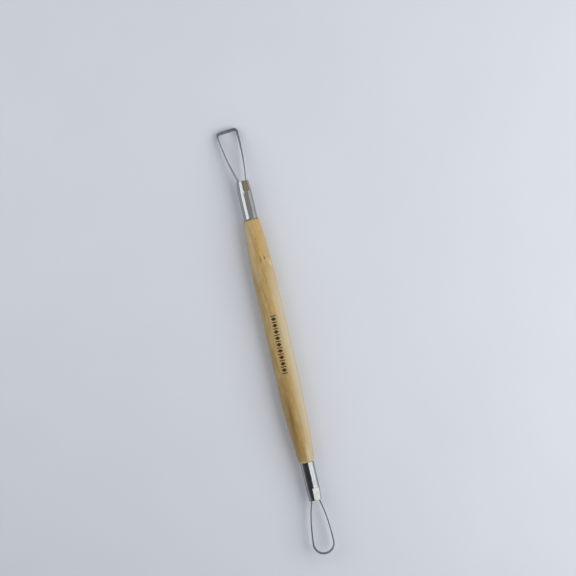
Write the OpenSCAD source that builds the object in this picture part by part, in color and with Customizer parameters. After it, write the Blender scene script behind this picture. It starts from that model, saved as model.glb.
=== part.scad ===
// Double-ended ribbon tool for trimming and hollowing clay.
// A turned wooden handle carries a crimped metal ferrule at each end. Each ferrule holds the two tails of a
// bent flat steel ribbon: a square-ended loop at -X and a pear-shaped loop at +X.
// The origin is on the handle's axis, midway between the ferrules. +X runs towards the pear loop, and the
// plane of both loops is XY, so the tool lies flat with +Z up. All sizes are in millimetres.

/* [Handle] */
// Length of bare wood between the two ferrules
handle_len = 115.6; // [90:0.2:150]
// Diameter of the straight middle of the handle
belly_d = 11; // [9:0.5:14]
// Start of the straight middle, measured from the handle's centre
belly_from = -12; // [-30:1:-12]
// End of the straight middle, measured from the handle's centre
belly_to = 20; // [16:1:30]
// Diameter of the wood where it meets a ferrule
neck_d = 7.4; // [7:0.1:8.4]
// Fullness of the taper towards the square loop, where 1 is a straight cone
square_fullness = 2.5; // [1:0.1:4]
// Fullness of the taper towards the pear loop, where 1 is a straight cone
pear_fullness = 2; // [1:0.1:4]
// Rounding of the wood's shoulder against a ferrule
shoulder_r = 0.4; // [0.1:0.05:0.6]

/* [Ferrules] */
// Length of each ferrule
ferrule_len = 18.3; // [14:0.1:24]
// Outside diameter of a ferrule's tube
ferrule_d = 6.5; // [6.2:0.1:6.8]
// Thickness of the ferrule's sheet
wall = 0.25; // [0.2:0.05:0.3]
// Outside diameter at the swaged mouth
mouth_d = 5.7; // [5.6:0.1:6]
// Length of the swaged taper
swage_len = 5.75; // [3:0.25:8]
// Distance from the axis to a crimped flat, at the mouth
flat_h = 2.35; // [2.3:0.05:2.6]
// Length of the crimped flats at the square loop
square_flat_len = 5.2; // [3:0.1:7]
// Length of the crimped flats at the pear loop
pear_flat_len = 6.1; // [3:0.1:7]
// Angle from straight up to a crimped flat's face, about the axis
flat_turn = 31; // [0:1:33]

/* [Ribbons] */
// Width of the flat steel ribbon
ribbon_w = 2.2; // [1.6:0.1:2.3]
// Thickness of the ribbon
ribbon_t = 0.5; // [0.3:0.05:0.6]
// Length of each ribbon tail inside a ferrule
tail_len = 10; // [6:0.5:12]
// Distance from the axis to the middle of a tail
tail_y = 1.5; // [1.3:0.05:1.6]
// Distance from the axis to the middle of a leg, where it leaves the mouth
mouth_y = 1.85; // [1.7:0.05:1.9]

/* [Square loop] */
// Distance from the mouth to the outside of the end bar
square_reach = 25.4; // [18:0.2:34]
// Outside width of the loop at its end bar
square_w = 10; // [7:0.2:16]
// Outside radius of the two corners
square_corner_r = 1.65; // [0.8:0.05:2.5]
// Sideways lean of the loop towards -Y
square_lean = 4.7; // [0:0.1:8]
// Downward bend of the loop at the mouth
square_droop = 10; // [0:0.5:10]

/* [Pear loop] */
// Distance from the mouth to the outside of the round end
pear_reach = 25.3; // [18:0.1:34]
// Outside radius of the round end
pear_r = 5; // [3.5:0.1:8]
// Sideways lean of the loop towards -Y
pear_lean = 2.2; // [0:0.1:8]

/* [Printed band] */
// Number of printed lozenges along the handle
lozenges = 9; // [3:1:9]
// Spacing of the lozenges
band_pitch = 3; // [2.4:0.1:3]
// Height of the printed band around the handle
band_h = 2.8; // [1.5:0.1:4]
// Angle from straight up to the middle of the band, about the axis
band_turn = -3; // [-45:1:45]

/* [Hidden] */
$fn = 96;

square_end = -1;
pear_end = 1;
shoulder_x = handle_len / 2;
mouth_x = shoulder_x + ferrule_len;
taper_steps = 14;           // straight steps that make up one curved taper
shoulder_steps = 5;
leg_steps = 14;
arc_steps = 24;             // steps in a quarter turn of a loop
past = 1;                   // how far a cutting solid runs past what it cuts
tenon_fit = 0.04;           // gap between the wooden tenon and the ferrule
glue_gap = 0.02;            // gap modelled between the glue and its neighbours
tenon_recess = 1;           // the tenon stops this far inside the mouth
glue_recess = 0.6;          // and the glue over it stops this far inside
groove_room = 0.1;          // room around a ribbon tail in its groove
groove_end_room = 0.4;      // and beyond the tail's end
splay_len = 2.5;            // length over which a tail spreads out to the mouth
knee = 0.35;                // each leg runs straight for this far either side of the mouth
ink_t = 0.03;               // thickness of the printed ink
stroke_w = 0.45;            // width of the printed bars
lozenge_w = 1.9;            // width of the printed lozenges
band_x = 1.7;               // middle of the printed band, from the handle's centre
swage_turn = atan((ferrule_d - mouth_d) / 2 / swage_len);

// ---- Placing ----

// Places what is drawn outwards from a mouth, along +X, at one end of the tool.
module at_mouth(end) {
    mirror([end == square_end ? 1 : 0, 0, 0])
        translate([mouth_x, 0, 0])
            children();
}

// Turns a profile of [radius, x] points about the X axis.
module turned(profile) {
    rotate([0, 90, 0])
        rotate_extrude()
            polygon(profile);
}

// ---- Curves ----

// Points of an arc, from one angle to another.
function arc(centre, r, from, to, steps) =
    [for (i = [0:steps]) let (a = from + (to - from) * i / steps) centre + r * [cos(a), sin(a)]];

// Points of a curve that leaves a towards b and arrives at c from b, without a itself.
function curve(a, b, c, steps) =
    [for (i = [1:steps]) let (u = i / steps) (1 - u) * (1 - u) * a + 2 * u * (1 - u) * b + u * u * c];

function unit(v) = v / norm(v);

// The path moved sideways by d, to its left when d is positive.
function offset_path(path, d) = [
    for (i = [0:len(path) - 1])
        let (
            before = path[max(i - 1, 0)],
            after = path[min(i + 1, len(path) - 1)],
            along = unit(after - before)
        )
        path[i] + d * [-along.y, along.x]
];

function reversed(path) = [for (i = [len(path) - 1:-1:0]) path[i]];

function mirrored_y(path) = [for (p = path) [p.x, -p.y]];

function leaned(path, angle) =
    [for (p = path) [p.x * cos(angle) + p.y * sin(angle), -p.x * sin(angle) + p.y * cos(angle)]];

// A flat ribbon standing on edge along a path in the XY plane.
module ribbon_along(path, thickness = ribbon_t, width = ribbon_w) {
    translate([0, 0, -width / 2])
        linear_extrude(width)
            polygon(concat(offset_path(path, thickness / 2), reversed(offset_path(path, -thickness / 2))));
}

// ---- Handle ----

// Radius of the wood at a share s of the way from the straight middle to the neck.
function taper_r(s, fullness) = (belly_d - (belly_d - neck_d) * pow(s, fullness)) / 2;

// Points [radius, x] from the straight middle out to the axis at the shoulder.
function taper_profile(from, fullness) = concat(
    [for (i = [0:taper_steps - 1])
        let (s = i / taper_steps)
        [taper_r(s, fullness), from + (shoulder_x - shoulder_r - from) * s]],
    [for (p = arc([shoulder_x - shoulder_r, neck_d / 2 - shoulder_r], shoulder_r, 90, 0, shoulder_steps))
        [p.y, p.x]],
    [[0, shoulder_x]]
);

module handle() {
    color("burlywood") {
        turned(concat(
            [for (p = reversed(taper_profile(-belly_from, square_fullness))) [p.x, -p.y]],
            taper_profile(belly_to, pear_fullness)
        ));
        at_mouth(square_end) tenon(square_flat_len);
        at_mouth(pear_end) tenon(pear_flat_len);
    }
}

// The thin end of the wood that fills the ferrule, with a groove each side for the ribbon's tails.
module tenon(flat_len) {
    difference() {
        intersection() {
            ferrule_solid(wall + tenon_fit, flat_len, past);
            translate([-ferrule_len - past, -ferrule_d, -ferrule_d])
                cube([ferrule_len + past - tenon_recess, 2 * ferrule_d, 2 * ferrule_d]);
        }
        grooves(0, 0);
    }
}

// The two grooves beside the tenon's core, smaller all round by inset and ending at end_x.
module grooves(inset, end_x) {
    start_x = -tail_len - groove_end_room + inset;
    floor_y = tail_y - ribbon_t / 2 - groove_room + inset;
    half_w = ribbon_w / 2 + groove_room - inset;
    for (side = [0, 1])
        mirror([0, side, 0])
            translate([start_x, floor_y, -half_w])
                cube([end_x - start_x, ferrule_d, 2 * half_w]);
}

// ---- Ferrules ----

// The ferrule as a solid plug, drawn back from its mouth: a straight tube, a swaged taper and two flats.
// Inset makes it smaller all round, and longer adds that much at both ends.
module ferrule_solid(inset, flat_len, longer) {
    difference() {
        turned([
            [0, -ferrule_len - longer],
            [ferrule_d / 2 - inset, -ferrule_len - longer],
            [ferrule_d / 2 - inset, -swage_len],
            [mouth_d / 2 - inset - longer * tan(swage_turn), longer],
            [0, longer]
        ]);
        for (turn = [0, 180])
            rotate([turn - flat_turn, 0, 0])
                translate([0, 0, flat_h - inset])
                    rotate([0, swage_turn, 0])
                        translate([-flat_len - inset, -ferrule_d, 0])
                            cube([flat_len + inset + longer + past, 2 * ferrule_d, ferrule_d]);
    }
}

module ferrule(flat_len) {
    difference() {
        ferrule_solid(0, flat_len, 0);
        ferrule_solid(wall, flat_len, past);
    }
}

module ferrule_square_end() {
    color("silver")
        at_mouth(square_end) ferrule(square_flat_len);
}

module ferrule_pear_end() {
    color("silver")
        at_mouth(pear_end) ferrule(pear_flat_len);
}

// ---- Ribbons ----

// Path of one tail, from its buried end out to the mouth. The buried end can be made longer.
function tail_path(longer = 0) = concat(
    [[-tail_len - longer, tail_y], [-splay_len, tail_y]],
    curve([-splay_len, tail_y], [-splay_len / 2, tail_y], [-knee, mouth_y], 4),
    [[0, mouth_y]]
);

// Upper half of a loop, from just inside the mouth to the middle of its end. The leg bends at bend_x, meets
// the end's arc at entry degrees to the axis, and bar_half is half the straight part of the end.
function half_loop(reach, end_r, bar_half, bend_x, entry) =
    let (
        centre = [reach - ribbon_t / 2 - end_r, bar_half],
        leg_end = centre + end_r * [-sin(entry), cos(entry)],
        bend = [bend_x, leg_end.y - (leg_end.x - bend_x) * tan(entry)]
    )
    concat(
        curve([knee, mouth_y], bend, leg_end, leg_steps),
        [for (i = [1:arc_steps])
            let (a = (90 + entry) * (1 - i / arc_steps))
            centre + end_r * [cos(a), sin(a)]]
    );

// The lower half of a loop, from the middle of its end back to the mouth. A point on the axis isn't repeated.
function lower_half(half) =
    [for (i = [len(half) - 1:-1:0]) if (i < len(half) - 1 || half[i].y > 0) [half[i].x, -half[i].y]];

// A whole path, round from a start on the upper side to its mirror image, with the loop leaning towards -Y.
function loop_path(start, half, lean) =
    concat(start, leaned(half, lean), leaned(lower_half(half), lean), mirrored_y(reversed(start)));

// Both tails in a ferrule, larger all round by room.
module tails(room = 0) {
    for (side = [0, 1])
        mirror([0, side, 0])
            ribbon_along(tail_path(room), ribbon_t + 2 * room, ribbon_w + 2 * room);
}

square_half = half_loop(square_reach, square_corner_r - ribbon_t / 2, square_w / 2 - square_corner_r, 11, 2);
pear_half = half_loop(pear_reach, pear_r - ribbon_t / 2, 0, 8.5, 2);

module ribbon_square_loop() {
    color("slategray")
        at_mouth(square_end) {
            tails();
            rotate([0, square_droop, 0])
                ribbon_along(loop_path([[-knee, mouth_y], [knee, mouth_y]], square_half, square_lean));
        }
}

module ribbon_pear_loop() {
    color("slategray")
        at_mouth(pear_end)
            ribbon_along(loop_path(concat(tail_path(), [[knee, mouth_y]]), pear_half, pear_lean));
}

// ---- Glue ----

// Set glue that fills both grooves around the tails and covers the tenon's end inside the mouth.
module glue(flat_len) {
    difference() {
        intersection() {
            ferrule_solid(wall + glue_gap, flat_len, past);
            union() {
                grooves(glue_gap, -glue_recess);
                translate([-tenon_recess + glue_gap, -ferrule_d, -ferrule_d])
                    cube([tenon_recess - glue_gap - glue_recess, 2 * ferrule_d, 2 * ferrule_d]);
            }
        }
        tails(glue_gap);
    }
}

module glue_square_end() {
    color("goldenrod")
        at_mouth(square_end) glue(square_flat_len);
}

module glue_pear_end() {
    color("goldenrod")
        at_mouth(pear_end) glue(pear_flat_len);
}

// ---- Printed band ----

module lozenge(width, height) {
    polygon([[width / 2, 0], [0, height / 2], [-width / 2, 0], [0, -height / 2]]);
}

// A plain row of lozenges with a thin bar between each pair, printed along the handle.
module printed_band() {
    half_len = lozenges * band_pitch / 2;
    color("black")
        intersection() {
            translate([band_x - half_len, 0, 0])
                turned([
                    [belly_d / 2, -stroke_w],
                    [belly_d / 2 + ink_t, -stroke_w],
                    [belly_d / 2 + ink_t, 2 * half_len + stroke_w],
                    [belly_d / 2, 2 * half_len + stroke_w]
                ]);
            rotate([-band_turn, 0, 0])
                translate([band_x - half_len, 0, 0])
                    linear_extrude(belly_d)
                        band_pattern();
        }
}

module band_pattern() {
    for (i = [0:lozenges - 1])
        translate([(i + 0.5) * band_pitch, 0])
            lozenge(lozenge_w, band_h);
    for (i = [0:lozenges])
        translate([i * band_pitch, 0])
            square([stroke_w, band_h], center = true);
}

handle();
ferrule_square_end();
ferrule_pear_end();
ribbon_square_loop();
ribbon_pear_loop();
glue_square_end();
glue_pear_end();
printed_band();
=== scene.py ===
"""The looks of a double-ended ribbon tool, lying on a pale floor.

The tool has a turned wooden handle, two crimped nickel ferrules, a square-ended and a pear-shaped steel
loop, set glue and a printed band. Its axis is X, the pear loop is at +X, and +Z is up when it lies flat.

Lengths are in millimetres, and new_object scales them to metres. The lights and the camera are in metres.
Angles round the axis run from straight up towards +Y.
"""

import math

import bpy
import numpy as np
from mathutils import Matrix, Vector, noise


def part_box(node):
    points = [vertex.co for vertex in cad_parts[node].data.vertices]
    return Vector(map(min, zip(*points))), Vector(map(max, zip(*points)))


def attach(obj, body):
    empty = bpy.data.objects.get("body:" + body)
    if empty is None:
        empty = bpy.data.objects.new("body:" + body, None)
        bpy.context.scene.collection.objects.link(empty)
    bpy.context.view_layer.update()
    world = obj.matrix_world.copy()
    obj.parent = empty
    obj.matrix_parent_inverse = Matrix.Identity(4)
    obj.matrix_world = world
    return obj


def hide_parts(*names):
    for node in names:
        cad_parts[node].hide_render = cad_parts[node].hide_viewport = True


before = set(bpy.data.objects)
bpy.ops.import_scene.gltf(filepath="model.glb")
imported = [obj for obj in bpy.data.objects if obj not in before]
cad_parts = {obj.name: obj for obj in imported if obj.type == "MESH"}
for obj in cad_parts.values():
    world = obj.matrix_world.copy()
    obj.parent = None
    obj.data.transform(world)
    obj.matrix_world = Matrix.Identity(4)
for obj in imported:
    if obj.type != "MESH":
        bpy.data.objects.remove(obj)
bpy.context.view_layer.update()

MM = 0.001
CREASE = math.radians(50)       # faces that meet at a greater angle have a sharp edge between them

# ---- Sizes taken from the frame ----

SHOULDER_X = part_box("ferrule_pear_end")[0].x / MM
MOUTH_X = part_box("ferrule_pear_end")[1].x / MM
FERRULE_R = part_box("ferrule_pear_end")[1].y / MM
BELLY_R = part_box("handle")[1].y / MM
TENON_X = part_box("handle")[1].x / MM
TAIL_LEN = MOUTH_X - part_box("ribbon_pear_loop")[0].x / MM
PEAR_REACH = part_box("ribbon_pear_loop")[1].x / MM - MOUTH_X
RIBBON_W = (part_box("ribbon_pear_loop")[1].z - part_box("ribbon_pear_loop")[0].z) / MM
FERRULE_LEN = MOUTH_X - SHOULDER_X

# ---- Sizes of the handle ----

BELLY = (-12.0, 20.0)           # ends of the straight middle, along X
NECK_R = 3.7                    # radius of the wood against a ferrule
FULLNESS = (2.5, 2.0)           # power of the taper towards the square and the pear loop
SHOULDER_R = 0.4                # rounding of the wood's edge against a ferrule
TENON_FIT = 0.04                # gap between a tenon and its ferrule
TENON_EASE = 0.25               # size of the chamfer on a tenon's end
GROOVE_FLOOR = 1.15             # distance from the axis to a groove's floor
GROOVE_HALF_W = RIBBON_W / 2 + 0.1      # with a little room for glue
GROOVE_END_ROOM = 0.4           # length of a groove past the end of its tail
CUT_PAST = 1.0                  # how far a groove's cutter stands out of the wood
HANDLE_STEP = 0.3               # spacing of the rings along the handle
AROUND = 224                    # points in each ring of the handle and the ferrules
WOOD_WAVER = 0.035              # how far the turned surface wanders inwards
WAVER_FADE = 4.0                # length beside a shoulder over which the wander fades out
BOW = 0.25                      # how far the handle bows towards -Y, at BOW_X
BOW_X = 32.0
BOW_HALF_LEN = 16.0

# ---- Sizes of the ferrules ----

WALL = 0.25
MOUTH_R = 2.85
SWAGE_LEN = 5.75                # length that narrows towards the mouth
SWAGE_POWER = 1.15              # 1 for a straight cone, more for a fuller one
FLAT_H = 2.4                    # distance from the axis to a crimped flat, at the mouth
FLAT_LEN = {"square": 5.2, "pear": 6.1}
FLAT_TURN = math.radians(28)    # where round the axis a flat faces
FLAT_STEP = 0.34                # length of the slope at a flat's inner end
FLAT_EDGE = 0.06                # softness of a flat's edges
FLAT_REACH = 0.2                # least cosine of the angle from a flat's middle at which it can cut
CLOSE_HALF = 0.8                # half the length with close rings, about a flat's inner end
CLOSE_STEP = 0.07
CLOSE_MARGIN = 0.1              # gap from the close rings to the wider ones towards the handle

# ---- Sizes of the ribbons ----

RIBBON_T = 0.5
RIBBON_EDGE = 0.09              # rounding of the ribbon's edges
TAIL_Y = 1.5                    # from the axis to the middle of a tail
MOUTH_Y = 1.85                  # the same at the mouth
LEG_START = (0.35, MOUTH_Y + 0.02)      # where the free leg starts, just past the mouth
SPLAY_LEN = 2.5                 # length inside the mouth over which the tails spread
BEND_LEN = 1.6                  # length over which the square loop bends down
PATH_STEP = 0.2                 # spacing of the sections along a ribbon
PATH_EASING = 4                 # passes that round the corners of a ribbon's path
TILT_EASING = 30                # passes that smooth a ribbon's tilt along its length

# A loop is laid out with the middle of its ferrule's mouth at the origin, and reaches out along +X.
#   side: its end of the tool, along X
#   reach: how far it stands out of the mouth, before it is turned and bent
#   end_r: radius of the square loop's corners, or of the pear's round end
#   bar_half: half of the straight bar between the corners
#   bend_x: where the leg's curve turns
#   entry: the leg's angle to X where it meets the corner or the round end
#   lean: how far the loop turns towards -Y, in its own plane
#   droop: how far it is bent down at the mouth
#   tilts: pairs of a share of the ribbon's length, from its +Y tail, and degrees its top leans outwards
LOOPS = {
    "square": dict(
        side=-1, reach=25.09, end_r=1.4, bar_half=3.35, bend_x=11.0,
        entry=math.radians(2), lean=math.radians(4.7), droop=math.radians(10),
        tilts=((0.14, 0), (0.28, 7), (0.41, 12), (0.46, 15), (0.54, 18),
               (0.60, 4), (0.78, 14), (0.86, 14), (0.89, 0)),
    ),
    "pear": dict(
        side=1, reach=PEAR_REACH, end_r=4.75, bar_half=0.0, bend_x=8.5,
        entry=math.radians(2), lean=math.radians(2.2), droop=0.0,
        tilts=((0.15, 0), (0.30, 2), (0.42, 6), (0.50, 9), (0.60, 8), (0.68, 2), (0.84, 0)),
    ),
}

# ---- Sizes of the printed band ----

BAND_X = 1.7                    # middle of the band, along X
BAND_TURN = math.radians(-3)    # middle of the band, round the axis
BAND_SLANT = -0.016             # how far the row strays round the handle, per length along it
BAND_H = 2.6
BAND_PITCH = 3.0
LOZENGES = 9
LOZENGE_W = 1.9
BAR_W = 0.45
INK_T = 0.02                    # how far the ink stands proud of the wood, and sinks into it
INK_ROUGH = 0.035               # how far the ink's edges wander
INK_WAVES = 5.0                 # scale of that wander, per millimetre
INK_SEEDS = (7.0, 90.0)         # of the wander along the band and round it

# ---- The room ----

FLOOR_Z = -BELLY_R - 0.02
FLOOR_HALF = 2500
BACKDROP = (0.60, 0.625, 0.67, 1)   # what the camera sees in the distance
BACKDROP_FROM = (200, 430)      # distance over which the floor turns into the backdrop

SKY = (0.88, 0.94, 1.0, 1)
# The sky's strength is the sum of these. Each goes from its third number to its fourth as the height, or the
# distance along X either way, goes from its first number to its second, on a sky of radius 1.
SKY_BY_HEIGHT = (0.1, 0.6, 0.14, 0.03)
SKY_BY_LENGTH = (0.3, 0.7, 0.0, 0.45)

CAMERA_AT = (-0.02287, 0.00966, 0.95)   # metres
CAMERA_TURN = math.radians(77.02)
VIEW_WIDTH = 0.2677             # metres across the picture, at the height of the tool's axis
SENSOR = 36                     # width of the camera's sensor, which only sets the scale of its lens


# ---- Meshes ----

def smoothstep(a, b, x):
    """0 below a, 1 above b, smooth between."""
    t = np.clip((x - a) / (b - a), 0, 1)
    return t * t * (3 - 2 * t)


def wander(x, y, z, scale, seed):
    """Smooth noise about 0 at a point, in about -1 to 1."""
    return noise.noise(Vector((x * scale + seed, y * scale, z * scale)))


def new_object(name, points, faces):
    """An object in the scene with a mesh made from points in millimetres."""
    mesh = bpy.data.meshes.new(name)
    mesh.from_pydata([tuple(p) for p in np.asarray(points) * MM], [], faces)
    made = bpy.data.objects.new(name, mesh)
    bpy.context.scene.collection.objects.link(made)
    return made


def make_piece(name, points, faces, material, node):
    """A smooth mesh piece with sharp creases, standing for one CAD node."""
    piece = new_object(name, points, faces)
    mesh = piece.data
    mesh.validate()
    mesh.polygons.foreach_set("use_smooth", [True] * len(mesh.polygons))
    mesh.set_sharp_from_angle(angle=CREASE)
    mesh.materials.append(material)
    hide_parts(node)
    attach(piece, "root")
    return piece


def grid_faces(rows, columns, close_rows=False):
    """Quads of a grid of points whose columns run round and join up. Its rows join up too if asked."""
    faces = []
    for i in range(rows if close_rows else rows - 1):
        a, b = i * columns, (i + 1) % rows * columns
        for j in range(columns):
            k = (j + 1) % columns
            faces.append((a + j, b + j, b + k, a + k))
    return faces


def joined(meshes):
    """Points and faces of several meshes as one."""
    points, faces = [], []
    for more, quads in meshes:
        faces += [tuple(k + len(points) for k in quad) for quad in quads]
        points += more
    return points, faces


def closed_tube(rings):
    """Points and faces of a solid made of rings, with a fan over each end."""
    rings = np.asarray(rings)
    rows, columns = rings.shape[:2]
    points = np.vstack([rings.reshape(-1, 3), rings[0].mean(0), rings[-1].mean(0)])
    first, last = rows * columns, rows * columns + 1
    faces = grid_faces(rows, columns)
    for j in range(columns):
        k = (j + 1) % columns
        faces.append((first, j, k))
        faces.append((last, (rows - 1) * columns + k, (rows - 1) * columns + j))
    return points, faces


def ring(x, radii, angles):
    """Points round the axis at x."""
    return np.stack([np.full(len(angles), x), radii * np.sin(angles), radii * np.cos(angles)], axis=1)


ANGLES = np.arange(AROUND) / AROUND * 2 * math.pi


# ---- Ferrules ----

def ferrule_r(x, angles, flat_len):
    """Outer radius of a ferrule at x millimetres from its mouth, negative towards the handle."""
    tube = FERRULE_R - (FERRULE_R - MOUTH_R) * max(x / SWAGE_LEN + 1, 0) ** SWAGE_POWER
    slope = (FERRULE_R - MOUTH_R) / SWAGE_LEN
    clear = FERRULE_R * smoothstep(-flat_len + FLAT_STEP, -flat_len - FLAT_STEP / 2, x)
    flat_h = FLAT_H - x * slope + clear
    radii = np.full(len(angles), tube)
    for turn in (FLAT_TURN, FLAT_TURN + math.pi):
        facing = np.cos(angles - turn)
        flat = np.where(facing > FLAT_REACH, flat_h / np.maximum(facing, FLAT_REACH), np.inf)
        low, gap = np.minimum(radii, flat), np.abs(radii - flat)
        radii = low - FLAT_EDGE * np.log1p(np.exp(-gap / FLAT_EDGE))
    return radii


def ferrule_stations(flat_len):
    """(x, depth below the outer surface) of each ring, once round the wall of the tube."""
    half = WALL / 2
    outer_x = np.concatenate([
        np.linspace(-FERRULE_LEN + half, -flat_len - CLOSE_HALF - CLOSE_MARGIN, 26),
        np.arange(-flat_len - CLOSE_HALF, -flat_len + CLOSE_HALF, CLOSE_STEP),
        np.linspace(-flat_len + CLOSE_HALF + CLOSE_MARGIN / 2, -half, 16),
    ])
    bend = np.linspace(0, math.pi, 7)[1:-1]
    outer = [(x, 0.0) for x in outer_x]
    mouth = [(-half + half * math.sin(a), half - half * math.cos(a)) for a in bend]
    inner = [(x, WALL) for x in outer_x[::-2]]
    back = [(-FERRULE_LEN + half - half * math.sin(a), half + half * math.cos(a)) for a in bend]
    return outer + mouth + inner + back


def build_ferrule(kind, material):
    """One ferrule: the wall of a tube, with rounded ends."""
    side, flat_len = LOOPS[kind]["side"], FLAT_LEN[kind]
    rings = []
    for x, depth in ferrule_stations(flat_len):
        rings.append(ring(side * (MOUTH_X + x), ferrule_r(x, ANGLES, flat_len) - depth, ANGLES))
    rings = np.array(rings)
    faces = grid_faces(len(rings), AROUND, close_rows=True)
    if side < 0:
        faces = [face[::-1] for face in faces]
    make_piece(f"ferrule_{kind}", rings.reshape(-1, 3), faces, material, f"ferrule_{kind}_end")


# ---- Handle ----

def wood_r(x):
    """Radius of the wood at x, before the shoulders are rounded."""
    if x < BELLY[0]:
        share, power = (BELLY[0] - x) / (BELLY[0] + SHOULDER_X), FULLNESS[0]
    else:
        share, power = max(x - BELLY[1], 0) / (SHOULDER_X - BELLY[1]), FULLNESS[1]
    return BELLY_R - (BELLY_R - NECK_R) * share ** power


# Small dents in the wood: (x, angle, half length, half width, depth)
DENTS = [
    (-38.4, math.radians(3), 2.0, 0.3, 0.14),
    (-39.0, math.radians(27), 1.0, 0.35, 0.14),
    (-36.3, math.radians(58), 1.8, 0.6, 0.10),
]

# Darker and paler places in the wood, two of them painted highlights: (middle, half size, amount, colour)
WOOD_MARKS = [
    ((-50.0, 1.5, 4.0), (16.0, 1.5, 3.0), 0.75, (0.56, 0.335, 0.085, 1)),
    # A painted highlight, pale on the -Y side towards the square end
    ((-46.0, -3.0, 3.0), (24.0, 2.6, 4.0), 0.7, (0.68, 0.53, 0.30, 1)),
    ((-24.0, -0.5, 5.0), (12.0, 1.0, 2.0), 0.5, (0.44, 0.26, 0.075, 1)),
    ((35.5, -2.2, 4.6), (10.0, 0.9, 3.0), 0.8, (0.19, 0.10, 0.03, 1)),
    ((33.0, -1.9, 4.6), (20.0, 2.2, 3.0), 0.5, (0.30, 0.17, 0.05, 1)),
    ((40.0, -2.6, 4.2), (25.0, 2.0, 3.0), 0.45, (0.22, 0.125, 0.04, 1)),
    ((54.0, 1.7, 3.2), (8.0, 1.8, 2.5), 0.6, (0.68, 0.58, 0.42, 1)),
    ((-38.4, 0.27, 5.2), (2.5, 0.6, 1.4), 1.0, (0.28, 0.13, 0.01, 1)),
    ((-39.0, 2.2, 4.6), (1.4, 0.7, 1.4), 1.0, (0.16, 0.055, 0.003, 1)),
    # A painted highlight, a pale streak over the small nick
    ((-36.3, 4.3, 2.7), (2.2, 0.9, 1.2), 0.8, (0.74, 0.66, 0.46, 1)),
]

# The waver of the turned surface is the sum of these: (share, stretch along X, scale, seed)
WAVES = [(1.0, 0.05, 1.0, 3.0), (0.5, 0.16, 1.7, 40.0)]


def wood_surface(x, angles, base_r):
    """Radii round the wood at x, with the small waver and the dents of a turned piece."""
    radii = np.empty(len(angles))
    fade = float(smoothstep(0, WAVER_FADE, SHOULDER_X - abs(x)))
    for i, a in enumerate(angles):
        y, z = math.sin(a), math.cos(a)
        waver = 0.0
        for share, stretch, scale, seed in WAVES:
            waver += share * wander(x * stretch, y, z, scale, seed)
        radii[i] = base_r + WOOD_WAVER * fade * min(waver, 0.0)
    for dent_x, dent_a, half_len, half_w, depth in DENTS:
        off = (angles - dent_a + math.pi) % (2 * math.pi) - math.pi
        reach = ((x - dent_x) / half_len) ** 2 + (off * base_r / half_w) ** 2
        radii -= depth * np.clip(1 - reach, 0, 1)
    return radii


def tenon_rings(kind):
    """Rings of one tenon, from its end to the shoulder."""
    side, flat_len = LOOPS[kind]["side"], FLAT_LEN[kind]
    length = np.linspace(TENON_X - 2 * TENON_EASE, SHOULDER_X, 60)
    rings = []
    for x in [TENON_X, TENON_X - TENON_EASE, *length]:
        radii = ferrule_r(x - MOUTH_X, ANGLES, flat_len + WALL) - WALL - TENON_FIT
        rings.append(ring(side * x, radii - (TENON_EASE if x == TENON_X else 0), ANGLES))
    return rings


def shoulder_rings(side):
    """Rings over the rounded edge of the wood at one end, inwards from the tenon."""
    rings = []
    for a in np.linspace(0, math.pi / 2, 7)[:-1]:
        x = side * (SHOULDER_X - SHOULDER_R + SHOULDER_R * math.cos(a))
        base_r = NECK_R - SHOULDER_R * (1 - math.sin(a))
        rings.append(ring(x, wood_surface(x, ANGLES, base_r), ANGLES))
    return rings


def body_rings():
    """Rings between the shoulders, with the handle's slight bow."""
    half = SHOULDER_X - SHOULDER_R
    rings = []
    for x in np.linspace(-half, half, int(2 * half / HANDLE_STEP)):
        bow = BOW * math.cos(math.pi / 2 * min(abs(x - BOW_X) / BOW_HALF_LEN, 1)) ** 2
        rings.append(ring(x, wood_surface(x, ANGLES, wood_r(x)), ANGLES) - (0, bow, 0))
    return rings


def build_handle(material):
    """The turned wood with a tenon at each end, and the grooves in the tenons."""
    rings = tenon_rings("square") + shoulder_rings(-1) + body_rings()
    rings += shoulder_rings(1)[::-1] + tenon_rings("pear")[::-1]
    points, faces = closed_tube(rings)
    handle = make_piece("wooden_handle", points, faces, material, "handle")
    cut_grooves(handle)


def box_mesh(xs, ys, zs):
    """Points and faces of a closed box, from its low and high places along each axis."""
    points = [(x, y, z) for x in xs for y in ys for z in zs]
    faces = [(0, 1, 3, 2), (4, 6, 7, 5), (0, 4, 5, 1), (2, 3, 7, 6), (0, 2, 6, 4), (1, 5, 7, 3)]
    return points, faces


def cut_grooves(handle):
    """Cuts the four grooves for the ribbon tails out of the tenons."""
    boxes = []
    for side_x in (-1, 1):
        for side_y in (-1, 1):
            start = MOUTH_X - TAIL_LEN - GROOVE_END_ROOM
            xs = sorted((side_x * start, side_x * (TENON_X + CUT_PAST)))
            ys = sorted((side_y * GROOVE_FLOOR, side_y * (FERRULE_R + CUT_PAST)))
            boxes.append(box_mesh(xs, ys, (-GROOVE_HALF_W, GROOVE_HALF_W)))
    cutter = new_object("groove_cutter", *joined(boxes))
    cut = handle.modifiers.new("grooves", "BOOLEAN")
    cut.operation = "DIFFERENCE"
    cut.solver = "EXACT"
    cut.object = cutter
    bpy.context.view_layer.update()
    done = bpy.data.meshes.new_from_object(handle.evaluated_get(bpy.context.evaluated_depsgraph_get()))
    handle.modifiers.clear()
    handle.data = done
    done.set_sharp_from_angle(angle=CREASE)
    bpy.data.objects.remove(cutter)


# ---- Ribbons ----

def quadratic(a, b, c, steps):
    """Points of the curve that leaves a towards b and arrives at c from b."""
    u = np.linspace(0, 1, steps + 1)[:, None]
    a, b, c = map(np.array, (a, b, c))
    return (1 - u) ** 2 * a + 2 * u * (1 - u) * b + u ** 2 * c


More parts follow.
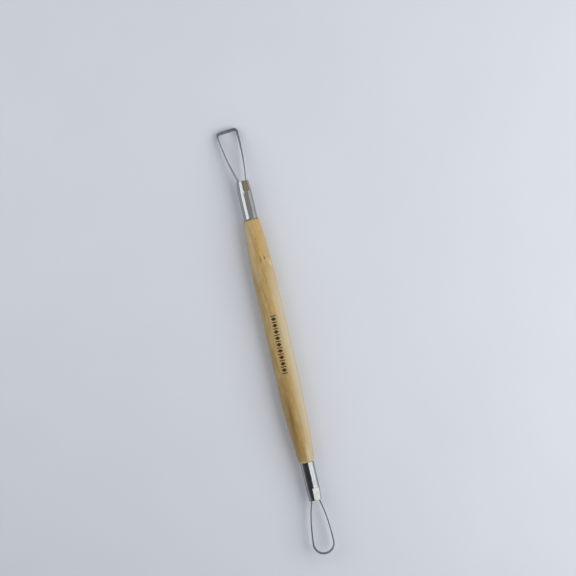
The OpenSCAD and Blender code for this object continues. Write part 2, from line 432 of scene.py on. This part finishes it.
def half_path(loop):
    """The +Y half of a ribbon's middle line in its own plane, from the buried end to the loop's end."""
    end_r, entry = loop["end_r"], loop["entry"]
    centre = np.array([loop["reach"] - RIBBON_T / 2 - end_r, loop["bar_half"]])
    leg_end = centre + end_r * np.array([-math.sin(entry), math.cos(entry)])
    bend = (loop["bend_x"], leg_end[1] - (leg_end[0] - loop["bend_x"]) * math.tan(entry))
    tail = np.array([[-TAIL_LEN, TAIL_Y], [-SPLAY_LEN, TAIL_Y]])
    splay = quadratic((-SPLAY_LEN, TAIL_Y), (-SPLAY_LEN / 2, TAIL_Y), (0, MOUTH_Y), 8)[1:]
    leg = quadratic(LEG_START, bend, leg_end, 60)
    turn = np.linspace(math.pi / 2 + entry, 0, 40)[1:, None]
    arc = centre + end_r * np.hstack([np.cos(turn), np.sin(turn)])
    return np.vstack([tail, splay, leg, arc])


def even_steps(path, step):
    """The path again, with points at an even spacing."""
    length = np.concatenate([[0], np.cumsum(np.linalg.norm(np.diff(path, axis=0), axis=1))])
    at = np.linspace(0, length[-1], int(length[-1] / step) + 1)
    return np.stack([np.interp(at, length, path[:, k]) for k in range(path.shape[1])], axis=1)


def eased(path, passes):
    """The path, or any rows of numbers, smoothed a little. Its ends stay."""
    path = path.copy()
    for _ in range(passes):
        path[1:-1] = (path[:-2] + 2 * path[1:-1] + path[2:]) / 4
    return path


def ribbon_path(loop):
    """The whole middle line in the loop's plane: out along one leg, round the end and back."""
    there = half_path(loop)
    back = there[::-1] * (1, -1)
    path = np.vstack([there, back[1:] if loop["bar_half"] == 0 else back])
    c, s = math.cos(loop["lean"]), math.sin(loop["lean"])
    leaned = np.stack([path[:, 0] * c + path[:, 1] * s, -path[:, 0] * s + path[:, 1] * c], axis=1)
    path = np.where(path[:, :1] > 0, leaned, path)
    return eased(even_steps(path, PATH_STEP), PATH_EASING)


def bent_down(u, droop):
    """Where distances u in the loop's plane go once it is bent at the mouth: x, z and its angle there."""
    if droop == 0:
        return u, np.zeros(len(u)), np.zeros(len(u))
    bend_r = BEND_LEN / droop
    angle = np.clip(u / BEND_LEN, 0, 1) * droop
    past = np.maximum(u - BEND_LEN, 0)
    x = np.minimum(u, 0) + bend_r * np.sin(angle) + past * math.cos(droop)
    z = -bend_r * (1 - np.cos(angle)) - past * math.sin(droop)
    return x, z, angle


def ribbon_section():
    """Outline of the ribbon's section: (across its thickness, across its width), with rounded edges."""
    points = []
    corners = ((1, 1), (-1, 1), (-1, -1), (1, -1))
    for i, (side_t, side_w) in enumerate(corners):
        for k in range(4):
            a = math.pi / 2 * (i + k / 3)
            t = side_t * (RIBBON_T / 2 - RIBBON_EDGE) + RIBBON_EDGE * math.cos(a)
            w = side_w * (RIBBON_W / 2 - RIBBON_EDGE) + RIBBON_EDGE * math.sin(a)
            points.append((t, w))
    return np.array(points)


def unit_rows(rows):
    """The vectors in the rows, each made 1 long."""
    return rows / np.linalg.norm(rows, axis=1)[:, None]


def ribbon_frame(loop):
    """The ribbon's middle line, and along it the directions across its thickness and its width."""
    path = ribbon_path(loop)
    x, z, angle = bent_down(path[:, 0], loop["droop"])
    middle = np.stack([x, path[:, 1], z], axis=1)
    along = unit_rows(np.gradient(middle, axis=0))
    up = np.stack([np.sin(angle), np.zeros(len(angle)), np.cos(angle)], axis=1)
    aside = unit_rows(np.cross(up, along))
    up = np.cross(along, aside)
    share = np.linspace(0, 1, len(path))
    tilt = np.radians(np.interp(share, *zip(*loop["tilts"])))
    tilt = eased(tilt[:, None], TILT_EASING)
    c, s = np.cos(tilt), np.sin(tilt)
    return middle, aside * c - up * s, up * c + aside * s


def build_ribbon(kind, material):
    """One loop with its two tails, which stores each point's place along and across the ribbon."""
    loop = LOOPS[kind]
    middle, aside, up = ribbon_frame(loop)
    section = ribbon_section()
    rings = middle[:, None] + aside[:, None] * section[:, 0, None] + up[:, None] * section[:, 1, None]
    rings[:, :, 0] = loop["side"] * (rings[:, :, 0] + MOUTH_X)
    points, faces = closed_tube(rings)
    if loop["side"] > 0:
        faces = [face[::-1] for face in faces]
    piece = make_piece(f"steel_loop_{kind}", points, faces, material, f"ribbon_{kind}_loop")
    length = np.arange(len(middle)) * PATH_STEP
    along = np.repeat(length, len(section))
    across = np.tile(section[:, 1] / (RIBBON_W / 2), len(middle))
    add_point_values(piece, "along", [*along, length[0], length[-1]])
    add_point_values(piece, "across", [*across, 0, 0])


def add_point_values(piece, name, values):
    """Stores one number per vertex, for the material to read."""
    layer = piece.data.attributes.new(name, "FLOAT", "POINT")
    layer.data.foreach_set("value", np.asarray(values, np.float32))


# ---- Printed band ----

def ink_patch(corners, steps):
    """One printed shape as a thin closed skin on the wood.

    Its four corners are (along, around), in order, and its first and second sides have these steps.
    """
    n, m = steps
    a, b, c, d = map(np.array, corners)
    flat = []
    for i in range(n + 1):
        for j in range(m + 1):
            u, v = i / n, j / m
            p = (1 - u) * (1 - v) * a + u * (1 - v) * b + u * v * c + (1 - u) * v * d
            rough = np.array([wander(p[0], p[1], 0, INK_WAVES, seed) for seed in INK_SEEDS])
            flat.append(p + INK_ROUGH * rough + (0, BAND_SLANT * (p[0] - BAND_X)))
    points = []
    for lift in (INK_T, -INK_T):
        for p in flat:
            angle = np.array([BAND_TURN + p[1] / BELLY_R])
            radius = wood_surface(p[0], angle, BELLY_R) + lift
            points.append(ring(p[0], radius, angle)[0])
    faces = []
    top = (n + 1) * (m + 1)
    for i in range(n):
        for j in range(m):
            q = i * (m + 1) + j
            quad = (q, q + m + 1, q + m + 2, q + 1)
            faces.append(quad)
            faces.append(tuple(top + k for k in quad[::-1]))
    edge = [i * (m + 1) for i in range(n)] + [n * (m + 1) + j for j in range(m)]
    edge += [i * (m + 1) + m for i in range(n, 0, -1)] + list(range(m, 0, -1))
    for k, q in enumerate(edge):
        r = edge[(k + 1) % len(edge)]
        faces.append((q, q + top, r + top, r))
    return points, faces


def build_band(material):
    """A plain row of lozenges, with a bar between each pair and at each end."""
    start = BAND_X - LOZENGES * BAND_PITCH / 2
    h = BAND_H / 2
    patches = []
    for i in range(LOZENGES):
        x = start + (i + 0.5) * BAND_PITCH
        w = LOZENGE_W / 2
        patches.append(ink_patch(((x - w, 0), (x, -h), (x + w, 0), (x, h)), (12, 12)))
    for i in range(LOZENGES + 1):
        x = start + i * BAND_PITCH
        w = BAR_W / 2
        patches.append(ink_patch(((x - w, -h), (x + w, -h), (x + w, h), (x - w, h)), (3, 18)))
    points, faces = joined(patches)
    make_piece("printed_lozenges", points, faces, material, "printed_band")


# ---- Materials ----

class Nodes:
    """A node tree, filled by short calls. Their values are numbers or sockets."""

    def __init__(self, tree):
        self.tree = tree

    def add(self, kind, inputs=(), **settings):
        """A node with its settings, and its inputs given by name or number."""
        node = self.tree.nodes.new(kind)
        for key, value in settings.items():
            setattr(node, key, value)
        for key, value in dict(inputs).items():
            self.put(node.inputs[key], value)
        return node

    def put(self, socket, value):
        """Links a socket to the value, or sets the value on it."""
        if isinstance(value, bpy.types.NodeSocket):
            self.tree.links.new(value, socket)
        else:
            socket.default_value = value

    def math(self, operation, a, b=0.0):
        """One step of arithmetic. Some steps use only the first value."""
        return self.add("ShaderNodeMath", {0: a, 1: b}, operation=operation).outputs[0]

    def product(self, *values):
        """All the values multiplied."""
        total = values[0]
        for value in values[1:]:
            total = self.math("MULTIPLY", total, value)
        return total

    def between(self, value, low, high, to_low=0.0, to_high=1.0, interpolation="SMOOTHSTEP"):
        """The value's place from low to high, as a number from to_low to to_high."""
        inputs = {0: value, 1: low, 2: high, 3: to_low, 4: to_high}
        return self.add("ShaderNodeMapRange", inputs, interpolation_type=interpolation).outputs[0]


class Shader(Nodes):
    """A material, which gives the finish of the record's slot of the same name, if it has one."""

    def __init__(self, slot):
        self.material = bpy.data.materials.new(slot)
        self.material["slot"] = slot
        self.material.use_nodes = True
        super().__init__(self.material.node_tree)
        self.surface = self.tree.nodes["Principled BSDF"]

    def set(self, **values):
        """Sets inputs of the surface, with _ for a space in their names."""
        for key, value in values.items():
            self.put(self.surface.inputs[key.replace("_", " ")], value)

    def mix(self, factor, a, b, blend="MIX"):
        """The colour the factor's share of the way from a to b, or from a to their blend."""
        node = self.add("ShaderNodeMix", data_type="RGBA", blend_type=blend)
        self.put(node.inputs["Factor"], factor)
        self.put(node.inputs[6], a)
        self.put(node.inputs[7], b)
        return node.outputs[2]

    def place(self, scale=(1, 1, 1), location=(0, 0, 0), rotation=(0, 0, 0)):
        """Position on the piece in millimetres, turned, then scaled and moved."""
        where = self.add("ShaderNodeTexCoord").outputs["Object"]
        turned = self.add("ShaderNodeMapping", {"Vector": where, "Rotation": rotation}).outputs[0]
        inputs = {"Vector": turned, "Scale": [s / MM for s in scale], "Location": location}
        return self.add("ShaderNodeMapping", inputs).outputs[0]

    def noise(self, vector, detail=3.0, roughness=0.5, distortion=0.0):
        """Smooth noise about 0.5, whose scale is the vector's own."""
        inputs = {"Vector": vector, "Scale": 1.0, "Detail": detail, "Roughness": roughness,
                  "Distortion": distortion}
        return self.add("ShaderNodeTexNoise", inputs).outputs[0]

    def spot(self, centre, half_size):
        """1 in the middle tenth of an ellipsoid, fading to 0 at its surface. Sizes are millimetres."""
        scale = [1 / s for s in half_size]
        move = [-c / s for c, s in zip(centre, half_size)]
        vector = self.place(scale, move)
        far = self.add("ShaderNodeVectorMath", {0: vector}, operation="LENGTH").outputs["Value"]
        return self.between(far, 1.0, 0.1)

    def bump(self, height, distance, strength, normal=None):
        """The normal of a surface whose height of 1 stands the distance, in millimetres, proud."""
        inputs = {"Height": height, "Distance": distance * MM, "Strength": strength}
        if normal is not None:
            inputs["Normal"] = normal
        return self.add("ShaderNodeBump", inputs).outputs[0]


GRAIN_TURN = (0, 0, math.radians(-4.5))
HEART_Y, HEART_Z = -17.0, 9.0   # the middle of the tree's growth rings
RING_GAP = 1.9
RING_DRIFT = 8.0                # how far the growth rings wander


def wood_material():
    """Pale hardwood with slightly oblique grain, turned and thinly lacquered."""
    s = Shader("lacquered_wood")
    x, y, z = s.add("ShaderNodeSeparateXYZ", {0: s.place(rotation=GRAIN_TURN)}).outputs
    drift = s.noise(s.place((0.02, 0.10, 0.10)), detail=2.0)
    drift = s.math("MULTIPLY", s.math("SUBTRACT", drift, 0.5), RING_DRIFT)
    from_y = s.math("ADD", s.math("SUBTRACT", y, HEART_Y), drift)
    from_z = s.math("ADD", s.math("SUBTRACT", z, HEART_Z), drift)
    squares = s.math("ADD", s.math("POWER", from_y, 2.0), s.math("POWER", from_z, 2.0))
    from_heart = s.math("POWER", squares, 0.5)
    growth = s.between(s.math("SINE", s.math("MULTIPLY", from_heart, 2 * math.pi / RING_GAP)), -0.4, 1.0)
    fibre = s.noise(s.place((0.16, 3.2, 3.2), rotation=GRAIN_TURN), detail=6.0, roughness=0.66)
    mottle = s.noise(s.place((0.16, 0.42, 0.42), (3.0, 8.0, 5.0), GRAIN_TURN), detail=4.0, roughness=0.6)
    broad = s.noise(s.place((0.035, 0.2, 0.2), (4.0, 1.0, 7.0), GRAIN_TURN), detail=2.0)
    fleck = s.noise(s.place((0.75, 5.5, 5.5), rotation=GRAIN_TURN), detail=1.5, roughness=0.4)
    fleck = s.between(fleck, 0.66, 0.74)

    # The wood itself: rings, fibres and flecks, warmer towards the pear end
    pale = (0.56, 0.39, 0.155, 1)
    tan = (0.40, 0.24, 0.065, 1)
    brown = (0.25, 0.135, 0.035, 1)
    gold = (0.50, 0.30, 0.075, 1)
    colour = s.mix(s.math("MULTIPLY", growth, 0.5), pale, tan)
    colour = s.mix(s.between(broad, 0.42, 0.66, 0.0, 0.6), colour, gold)
    colour = s.mix(s.between(x, 0.0, 26.0, 0.0, 0.55), colour, tan)
    colour = s.mix(s.between(mottle, 0.46, 0.66, 0.0, 0.55), colour, tan)
    colour = s.mix(s.between(fibre, 0.46, 0.76, 0.0, 0.7), colour, brown)
    colour = s.mix(s.between(mottle, 0.5, 0.33, 0.0, 0.45), colour, pale)
    colour = s.mix(s.math("MULTIPLY", fleck, 0.55), colour, brown)
    for centre, half_size, amount, tint in WOOD_MARKS:
        mark = s.product(s.spot(centre, half_size), s.between(fibre, 0.25, 0.55, 0.4, 1.0), amount)
        colour = s.mix(mark, colour, tint)

    # Painted sheen on the upper +Y side, a raw edge at the pear end and a painted shadow where the wood
    # meets the square end's ferrule
    along, aside, up = s.add("ShaderNodeSeparateXYZ", {0: s.place()}).outputs
    # The painted sheen pales the wood towards +Y and the top, where the light falls most
    sheen_from = s.math("ADD", aside, s.math("MULTIPLY", s.math("SUBTRACT", mottle, 0.5), 2.5))
    sheen_along = s.between(along, -46.0, -14.0, 0.15, 0.95)
    painted_sheen = s.product(s.between(sheen_from, 0.2, 4.6), sheen_along, s.between(up, 0.0, 3.0, 0.25, 1.0))
    colour = s.mix(painted_sheen, colour, (0.54, 0.46, 0.31, 1))
    raw = s.between(along, SHOULDER_X - 0.9, SHOULDER_X - 0.2, 0.0, 0.6)
    colour = s.mix(raw, colour, (0.66, 0.54, 0.34, 1))
    # Painted shadow in a narrow ring where the wood meets the square end's ferrule
    junction_shadow = s.between(along, -SHOULDER_X + 0.75, -SHOULDER_X + 0.15, 0.0, 0.7)
    colour = s.mix(junction_shadow, colour, (0.15, 0.10, 0.045, 1))

    smear = s.noise(s.place((0.05, 0.4, 0.4), (9.0, 3.0, 2.0)), detail=3.0)
    s.set(Base_Color=colour, Roughness=s.between(smear, 0.3, 0.7, 0.45, 0.6), IOR=1.45)
    s.set(Coat_Weight=s.between(smear, 0.35, 0.65, 0.15, 0.4), Coat_Roughness=0.3, Coat_IOR=1.5)
    s.set(Sheen_Weight=0.25, Sheen_Roughness=0.4, Sheen_Tint=(0.96, 0.98, 1.0, 1))
    height = s.math("SUBTRACT", s.math("MULTIPLY", fibre, 0.8), s.math("MULTIPLY", fleck, 0.7))
    s.set(Normal=s.bump(height, 0.04, 0.6))
    return s.material


def nickel_material():
    """Bright nickel plate over a drawn tube, with faint lines, smudges, dull rims and hammered flats."""
    s = Shader("nickel_plate")
    drawn = s.noise(s.place((0.16, 7.0, 7.0)), detail=4.0, roughness=0.6)
    smudge = s.noise(s.place((0.35, 0.5, 0.5)), detail=4.0, roughness=0.6, distortion=0.6)
    along = s.add("ShaderNodeSeparateXYZ", {0: s.place()}).outputs[0]
    outwards = s.math("ABSOLUTE", along)
    bright, smudged = (0.78, 0.78, 0.775, 1), (0.62, 0.61, 0.59, 1)
    colour = s.mix(s.between(smudge, 0.4, 0.75, 0.0, 0.5), bright, smudged)
    rim = s.between(outwards, MOUTH_X - 0.7, MOUTH_X - 0.05, 0.0, 0.4)
    colour = s.mix(rim, colour, (0.48, 0.45, 0.41, 1))

    # The flats: where the surface faces as they do, each end's tinted with its own painted reflection,
    # brownish at the square end and near white at the pear end
    inputs = {
        0: s.add("ShaderNodeNewGeometry").outputs["Normal"],
        1: (0, math.sin(FLAT_TURN), math.cos(FLAT_TURN)),
    }
    aligned = s.add("ShaderNodeVectorMath", inputs, operation="DOT_PRODUCT").outputs["Value"]
    flat = s.between(s.math("ABSOLUTE", aligned), 0.975, 0.992)
    for kind, reflection_tint in (("square", (0.62, 0.56, 0.47, 1)), ("pear", (1.0, 0.96, 0.92, 1))):
        inner_x = MOUTH_X - FLAT_LEN[kind]
        own_way = s.math("MULTIPLY", along, LOOPS[kind]["side"])
        on_flat = s.math("MULTIPLY", flat, s.between(own_way, inner_x - 0.2, inner_x + 0.2))
        colour = s.mix(on_flat, colour, s.mix(1.0, colour, reflection_tint, "MULTIPLY"))

    # Painted shade: the plate darkens towards its outline, where it turns away from the camera
    facing = s.add("ShaderNodeLayerWeight", {"Blend": 0.5}).outputs["Facing"]
    colour = s.mix(s.between(facing, 0.14, 0.5, 0.0, 0.75), colour, (0.20, 0.215, 0.235, 1))
    line_rough = s.between(drawn, 0.35, 0.7, 0.12, 0.2)
    rough = s.math("ADD", line_rough, s.between(smudge, 0.45, 0.8, 0.0, 0.12))
    s.set(Base_Color=colour, Metallic=1.0, Roughness=rough)
    hammered = s.noise(s.place((1.6, 1.6, 1.6)), detail=3.0, roughness=0.6)
    dents = s.product(flat, s.between(outwards, MOUTH_X - 6, MOUTH_X - 5), hammered)
    s.set(Normal=s.bump(dents, 0.05, 0.5, s.bump(drawn, 0.006, 0.5)))
    return s.material


def ribbon_material():
    """Cold-rolled steel ribbon: dull grey, lined along its length, with painted shade lower down, and worn
    edges.
    """
    s = Shader("ribbon_steel")
    along = s.add("ShaderNodeAttribute", attribute_name="along").outputs["Fac"]
    across = s.add("ShaderNodeAttribute", attribute_name="across").outputs["Fac"]
    drawn_out = {0: s.math("MULTIPLY", along, 0.3), 1: s.math("MULTIPLY", across, 14.0)}
    lines = s.noise(s.add("ShaderNodeCombineXYZ", drawn_out).outputs[0], detail=5.0, roughness=0.65)
    stain = s.noise(s.place((0.5, 0.9, 0.9)), detail=4.0, roughness=0.6)
    colour = s.mix(s.between(stain, 0.35, 0.72), (0.33, 0.34, 0.38, 1), (0.19, 0.19, 0.21, 1))
    colour = s.mix(s.between(lines, 0.4, 0.75, 0.0, 0.4), colour, (0.55, 0.55, 0.56, 1))
    # Painted shade, darkening the lower part of the ribbon
    colour = s.mix(s.between(across, 0.1, -0.9, 0.0, 0.6), colour, (0.09, 0.09, 0.10, 1))
    edge = s.between(s.math("ABSOLUTE", across), 0.9, 0.985)
    colour = s.mix(s.math("MULTIPLY", edge, 0.25), colour, (0.60, 0.60, 0.62, 1))
    line_rough = s.between(lines, 0.3, 0.75, 0.26, 0.42)
    rough = s.math("ADD", line_rough, s.between(stain, 0.5, 0.8, 0.0, 0.12))
    s.set(Base_Color=colour, Metallic=1.0, Roughness=rough, Normal=s.bump(lines, 0.012, 0.6))
    return s.material


def glue_material():
    """Clear amber resin, set hard, a little uneven."""
    s = Shader("set_glue")
    lumps = s.noise(s.place((0.9, 0.9, 0.9)), detail=4.0)
    colour = s.mix(lumps, (0.46, 0.29, 0.10, 1), (0.66, 0.50, 0.25, 1))
    s.set(Base_Color=colour, Roughness=s.between(lumps, 0.3, 0.7, 0.12, 0.3), Subsurface_Weight=0.25)
    s.set(Subsurface_Scale=0.6 * MM, Coat_Weight=0.4, Coat_Roughness=0.08)
    s.set(Normal=s.bump(lumps, 0.12, 0.6))
    return s.material


def ink_material():
    """Matt black ink, thin enough in places for the wood to show."""
    s = Shader("printing_ink")
    grain = s.noise(s.place((0.9, 5.0, 5.0)), detail=4.0, roughness=0.6)
    thin = s.between(grain, 0.56, 0.76, 0.0, 0.6)
    s.set(Base_Color=s.mix(thin, (0.018, 0.017, 0.016, 1), (0.20, 0.14, 0.07, 1)))
    s.set(Roughness=s.between(grain, 0.3, 0.7, 0.42, 0.62), Normal=s.bump(grain, 0.01, 0.5))
    return s.material


def floor_material():
    """A pale board that fades into the backdrop. It is clear from below, to show the tool's underside."""
    s = Shader("floor")
    shade = s.noise(s.place((0.02, 0.02, 0.02)), detail=3.0)
    s.set(Base_Color=s.mix(shade, (0.70, 0.715, 0.755, 1), (0.74, 0.755, 0.795, 1)), Roughness=0.62)
    distance = s.add("ShaderNodeVectorMath", {0: s.place()}, operation="LENGTH").outputs["Value"]
    seen = s.add("ShaderNodeLightPath").outputs["Is Camera Ray"]
    far = s.math("MULTIPLY", s.between(distance, *BACKDROP_FROM), seen)
    backdrop = s.add("ShaderNodeEmission", {"Color": BACKDROP}).outputs[0]
    surface = s.add("ShaderNodeMixShader", {0: far, 1: s.surface.outputs[0], 2: backdrop}).outputs[0]
    clear = s.add("ShaderNodeBsdfTransparent").outputs[0]
    below = s.add("ShaderNodeNewGeometry").outputs["Backfacing"]
    choose = s.add("ShaderNodeMixShader", {0: below, 1: surface, 2: clear})
    s.put(s.tree.nodes["Material Output"].inputs["Surface"], choose.outputs[0])
    return s.material


# ---- Floor, lights, world and camera ----

def build_floor():
    """A large square under the tool."""
    ways = ((-1, -1), (1, -1), (1, 1), (-1, 1))
    corners = [(x * FLOOR_HALF, y * FLOOR_HALF, FLOOR_Z) for x, y in ways]
    floor = new_object("floor", corners, [(0, 1, 2, 3)])
    floor.data.materials.append(floor_material())


def build_panel(name, angles, x_range, brightness, colour, distance=0.42, glossy=True):
    """A flat soft light along x_range that fills these angles, in degrees, as seen from the tool."""
    middle = math.radians(sum(angles) / 2)
    height = 2 * distance * math.tan(math.radians(abs(angles[1] - angles[0]) / 2))
    width = x_range[1] - x_range[0]
    data = bpy.data.lights.new(name, "AREA")
    data.shape = "RECTANGLE"
    data.size, data.size_y = width, height
    data.energy = brightness * math.pi * width * height
    data.color = colour
    light = bpy.data.objects.new(name, data)
    light.location = (sum(x_range) / 2, distance * math.sin(middle), distance * math.cos(middle))
    light.rotation_euler = (-middle, 0, 0)
    light.visible_camera = False
    light.visible_glossy = glossy
    bpy.context.scene.collection.objects.link(light)


def build_lights():
    """Panels that the metal mirrors, different at each end of the tool, and soft lights it doesn't."""
    build_panel("panel_pear_right", (18, 47), (0.02, 0.36), 1.0, (0.96, 0.98, 1.0))
    build_panel("panel_pear_right_low", (50, 90), (0.02, 0.36), 0.95, (0.92, 0.97, 1.0))
    build_panel("panel_square_left", (-74, -25), (-0.12, 0.0), 0.92, (0.97, 0.985, 1.0))
    build_panel("panel_square_mouth", (-72, -11), (-0.32, -0.12), 0.92, (0.97, 0.985, 1.0))
    build_panel("panel_square_top", (-20, 48), (-0.32, 0.0), 0.20, (1.0, 0.98, 0.98))
    build_panel("panel_square_right", (52, 90), (-0.36, 0.01), 0.42, (1.0, 0.97, 0.90))
    build_panel("key", (20, 70), (-0.40, 0.40), 1.62, (0.97, 0.98, 1.0), 0.6, False)
    build_panel("fill", (-45, 20), (-0.45, 0.45), 0.14, (0.94, 0.97, 1.0), 1.0, False)
    build_panel("fill_square_left", (-70, -20), (-0.40, -0.02), 0.6, (0.98, 0.99, 1.0), 0.6, False)


def build_world():
    """Dim light from overhead, and more from beyond the tool's ends. The camera sees the backdrop."""
    world = bpy.data.worlds.new("studio")
    bpy.context.scene.world = world
    world.use_nodes = True
    sky = Nodes(world.node_tree)
    way = sky.add("ShaderNodeTexCoord").outputs["Generated"]
    x, _, z = sky.add("ShaderNodeSeparateXYZ", {0: way}).outputs
    by_height = sky.between(z, *SKY_BY_HEIGHT, interpolation="LINEAR")
    by_length = sky.between(sky.math("ABSOLUTE", x), *SKY_BY_LENGTH, interpolation="LINEAR")
    light = sky.tree.nodes["Background"]
    sky.put(light.inputs["Color"], SKY)
    sky.put(light.inputs["Strength"], sky.math("ADD", by_height, by_length))
    seen = sky.add("ShaderNodeLightPath").outputs["Is Camera Ray"]
    backdrop = sky.add("ShaderNodeBackground", {"Color": BACKDROP}).outputs[0]
    choose = sky.add("ShaderNodeMixShader", {0: seen, 1: light.outputs[0], 2: backdrop})
    sky.put(sky.tree.nodes["World Output"].inputs["Surface"], choose.outputs[0])


def build_camera():
    """Looks straight down, with the tool's axis 13 degrees off the upright of the picture."""
    data = bpy.data.cameras.new("camera")
    data.sensor_width = SENSOR
    data.lens = SENSOR / VIEW_WIDTH * CAMERA_AT[2]
    camera = bpy.data.objects.new("camera", data)
    camera.location = CAMERA_AT
    camera.rotation_euler = (0, 0, CAMERA_TURN)
    bpy.context.scene.collection.objects.link(camera)
    bpy.context.scene.camera = camera


# ---- The scene ----

wood = wood_material()
nickel = nickel_material()
steel = ribbon_material()
glue = glue_material()
build_handle(wood)
build_band(ink_material())
for kind in LOOPS:
    build_ferrule(kind, nickel)
    build_ribbon(kind, steel)
    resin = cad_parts[f"glue_{kind}_end"]
    resin.data.materials.clear()
    resin.data.materials.append(glue)
build_floor()
build_lights()
build_world()
build_camera()
bpy.context.scene.view_settings.view_transform = "Standard"
